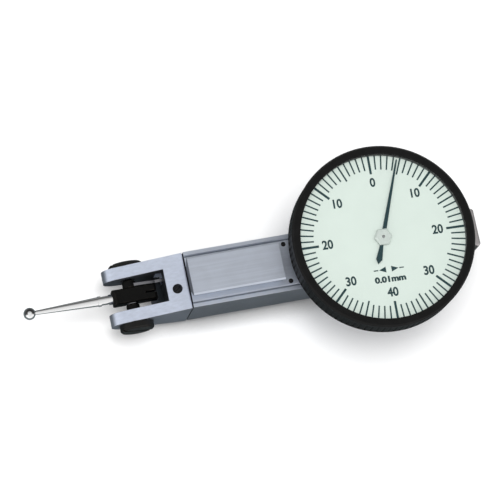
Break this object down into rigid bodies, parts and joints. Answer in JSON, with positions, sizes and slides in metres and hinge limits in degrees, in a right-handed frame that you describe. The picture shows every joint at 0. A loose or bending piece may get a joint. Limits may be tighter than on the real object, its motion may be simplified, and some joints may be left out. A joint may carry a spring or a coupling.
{
  "type": "dial test indicator",
  "caption": "Small lever-type dial test indicator: narrow dovetailed body, forked nose with swivelling ball stylus, and a round dial with a turning bezel that reads 0.01 mm.",
  "frame": {"origin": "where the dial's axis meets the flat face of the back dovetail", "axes": "+Z along the dial's axis, out of the dial's face; the stylus points along -X; +Y from the dial's centre towards its zero side, across the body"},
  "size_m": [0.0751, 0.03, 0.0216],
  "materials": {
    "satin_steel": "satin chromed",
    "bright_satin_steel": "satin chromed, fine grain",
    "dial_case_aluminium": "satin",
    "screw_steel": "turned",
    "dark_screw_steel": "black oxide",
    "black_oxide_steel": "matte black oxide",
    "bearing_jewel": "polished",
    "movement_brass": "fine brushed",
    "polished_steel": "polished",
    "spring_steel": "tempered",
    "hairspring_alloy": "polished",
    "ball_chrome": "polished",
    "black_bezel": "matte black anodised",
    "black_spacer": "matte",
    "crystal_glass": "clear",
    "gasket_rubber": "matte",
    "dial_enamel": "matte pale green",
    "hand_enamel": "satin dark teal",
    "hub_nickel": "satin nickel"
  },
  "bodies": {
    "case": {"casing": "satin_steel", "cover_plate": "satin_steel", "cover_screws": "screw_steel", "rear_dovetail": "satin_steel", "rear_dovetail_screws": "screw_steel", "nose_block": "bright_satin_steel", "nose_screws": "screw_steel", "nose_set_screw": "dark_screw_steel", "bearing_screw_right": "black_oxide_steel", "bearing_screw_left": "black_oxide_steel", "rocker_jewels": "bearing_jewel", "lever_jewels": "bearing_jewel", "crown_jewels": "bearing_jewel", "centre_bridge": "movement_brass", "centre_bridge_screws": "screw_steel", "centre_lower_jewel": "bearing_jewel", "centre_upper_jewel": "bearing_jewel", "movement_plate_left": "movement_brass", "movement_plate_right": "movement_brass", "movement_plate_screws": "screw_steel", "movement_spacers": "movement_brass", "movement_screws": "screw_steel", "hairspring": "hairspring_alloy", "hairspring_stud": "movement_brass", "dial_case": "dial_case_aluminium", "dial_case_screws": "screw_steel", "dial_bridge": "movement_brass", "dial_bridge_pillars": "movement_brass", "dial_bridge_screws": "screw_steel", "bezel_wire": "spring_steel"},
    "bezel": {"bezel": "black_bezel", "crystal": "crystal_glass", "crystal_gasket": "gasket_rubber", "crystal_spacer": "black_spacer", "dial_plate": "dial_enamel", "dial_snap_ring": "spring_steel"},
    "rocker": {"rocker_axle": "polished_steel", "rocker_hub": "black_oxide_steel", "rocker_arm": "polished_steel", "drive_pin": "polished_steel", "friction_hub": "black_oxide_steel", "friction_washer": "spring_steel"},
    "stylus": {"swivel_block": "black_oxide_steel", "stylus_shank": "polished_steel", "contact_ball": "ball_chrome"},
    "lever": {"sector_lever": "polished_steel", "lever_arbor": "polished_steel"},
    "crown": {"crown_wheel": "movement_brass", "crown_pinion": "polished_steel", "crown_arbor": "polished_steel"},
    "hand": {"centre_pinion": "polished_steel", "hairspring_collet": "movement_brass", "hand": "hand_enamel", "hand_hub": "hub_nickel"}
  },
  "joints": [
    {"name": "bezel_turn", "type": "hinge", "parent": "case", "child": "bezel", "pos_m": [0, 0, 0.0195], "axis": [0, 0, 1], "continuous": true},
    {"name": "hand_turn", "type": "hinge", "parent": "case", "child": "hand", "pos_m": [0, 0, 0.0168], "axis": [0, 0, -1], "range_deg": [0, 405], "stiffness_Nm_per_rad": 0.0000002, "springref_deg": -229.18, "deforming": ["hairspring"]},
    {"name": "stylus_swing", "type": "hinge", "parent": "case", "child": "rocker", "pos_m": [-0.0404, 0, 0.008], "axis": [0, 1, 0], "range_deg": [0, 3.1]},
    {"name": "stylus_set", "type": "hinge", "parent": "rocker", "child": "stylus", "pos_m": [-0.0404, 0, 0.008], "axis": [0, 1, 0], "range_deg": [-110, 110]},
    {"name": "lever_swing", "type": "hinge", "parent": "case", "child": "lever", "pos_m": [-0.0239, 0, 0.008], "axis": [0, -1, 0], "range_deg": [0, 4.65]},
    {"name": "crown_turn", "type": "hinge", "parent": "case", "child": "crown", "pos_m": [0, 0, 0.008], "axis": [0, 1, 0], "range_deg": [0, 51]}
  ],
  "couplings": [
    {"joint": "stylus_swing", "follows": "hand_turn", "ratio": 0.0075758},
    {"joint": "lever_swing", "follows": "hand_turn", "ratio": 0.011364},
    {"joint": "crown_turn", "follows": "hand_turn", "ratio": 0.125}
  ]
}
